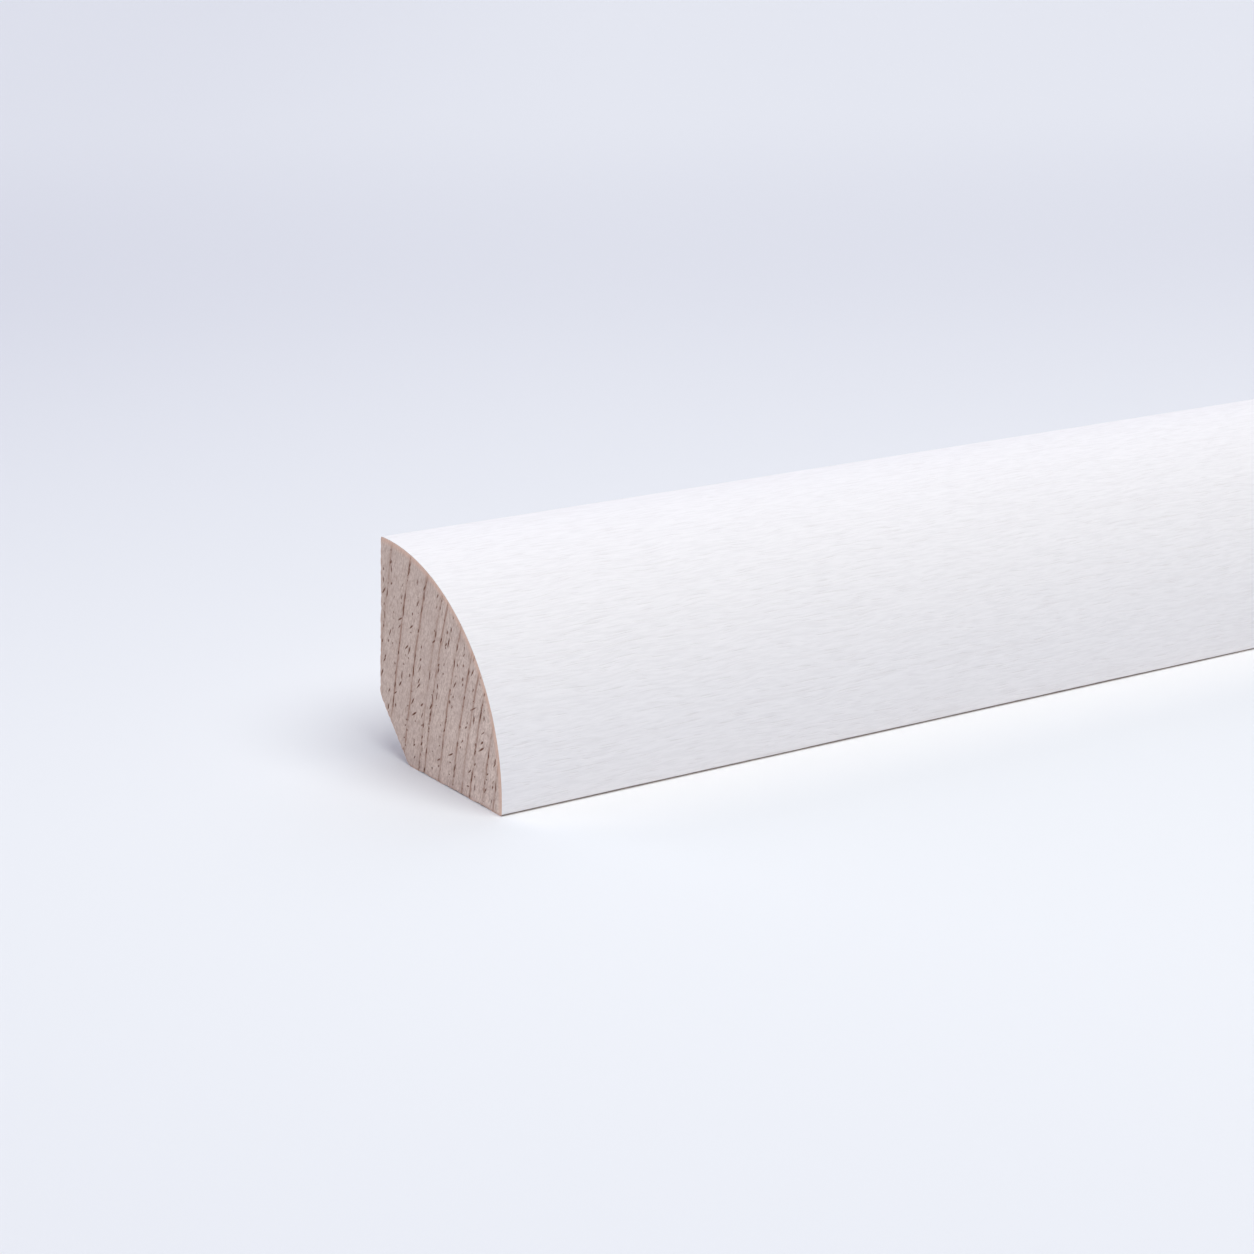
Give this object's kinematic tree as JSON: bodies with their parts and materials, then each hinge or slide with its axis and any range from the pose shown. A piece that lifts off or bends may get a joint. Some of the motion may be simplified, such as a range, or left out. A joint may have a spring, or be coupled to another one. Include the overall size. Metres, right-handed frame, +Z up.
{
  "type": "quarter round moulding",
  "caption": "Quarter round moulding of solid hardwood with a 20 mm section, white lacquered on the round, bare on its wall face, floor face and sawn ends.",
  "frame": {"origin": "on the floor face's plane, midway along the length and midway across the section", "axes": "+X along the length, +Y towards the wall behind the moulding, +Z up"},
  "size_m": [1, 0.02, 0.02],
  "materials": {
    "lacquered_hardwood": "thin white satin lacquer over open-grained hardwood on the round; bare planed wood on the wall face, floor face and cut-back corner; sawn end grain on both ends"
  },
  "bodies": {
    "root": {"quarter_round_moulding": "lacquered_hardwood"}
  },
  "joints": []
}
